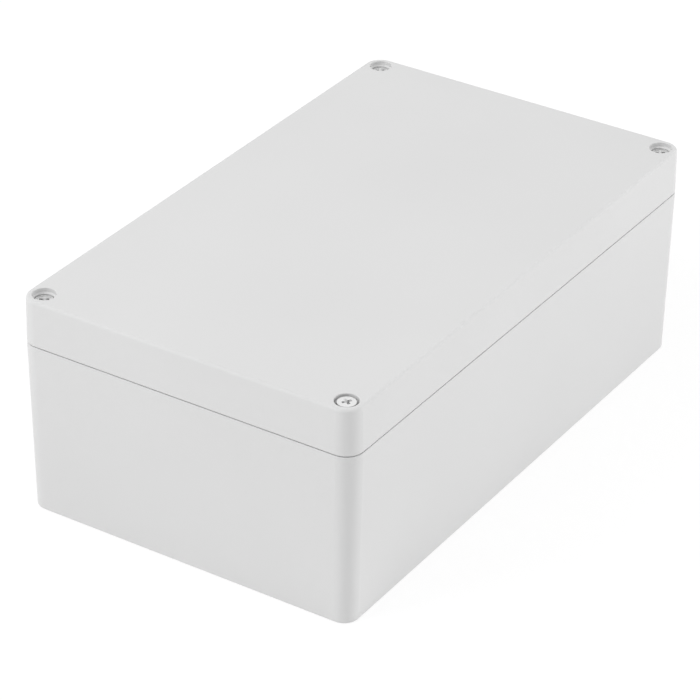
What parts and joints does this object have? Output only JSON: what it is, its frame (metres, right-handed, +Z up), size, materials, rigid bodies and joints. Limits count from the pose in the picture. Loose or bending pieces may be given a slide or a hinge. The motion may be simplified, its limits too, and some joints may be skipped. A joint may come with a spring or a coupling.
{
  "type": "aluminium enclosure",
  "caption": "Rectangular light grey cast aluminium box with a deep drafted base and a lid held by recessed corner screws, sealed by a gasket in a tongue and groove joint.",
  "frame": {"origin": "on the standing plane, under the middle of the floor", "axes": "+X along the length, +Y along the width, +Z up out of the lid; the long side at -Y is the front"},
  "size_m": [0.2, 0.12, 0.075],
  "materials": {
    "grey_coat_base": "die cast, smooth satin light grey powder coat",
    "grey_coat_lid": "die cast, smooth satin light grey powder coat",
    "seal_rubber": "moulded, matte black",
    "stainless": "plain bright stainless"
  },
  "bodies": {
    "base": {"base": "grey_coat_base"},
    "lid": {"lid": "grey_coat_lid", "gasket": "seal_rubber"},
    "screw_front_left": {"lid_screw_front_left": "stainless"},
    "screw_front_right": {"lid_screw_front_right": "stainless"},
    "screw_rear_left": {"lid_screw_rear_left": "stainless"},
    "screw_rear_right": {"lid_screw_rear_right": "stainless"}
  },
  "joints": [
    {"name": "lid_lift", "type": "slide", "parent": "base", "child": "lid", "axis": [0, 0, 1], "range_m": [0, 0.1]},
    {"name": "undo_front_left", "type": "slide", "parent": "lid", "child": "screw_front_left", "axis": [0, 0, 1], "range_m": [-0.0014, 0.0076]},
    {"name": "undo_front_right", "type": "slide", "parent": "lid", "child": "screw_front_right", "axis": [0, 0, 1], "range_m": [0, 0.009]},
    {"name": "undo_rear_left", "type": "slide", "parent": "lid", "child": "screw_rear_left", "axis": [0, 0, 1], "range_m": [0, 0.009]},
    {"name": "undo_rear_right", "type": "slide", "parent": "lid", "child": "screw_rear_right", "axis": [0, 0, 1], "range_m": [0, 0.009]}
  ]
}
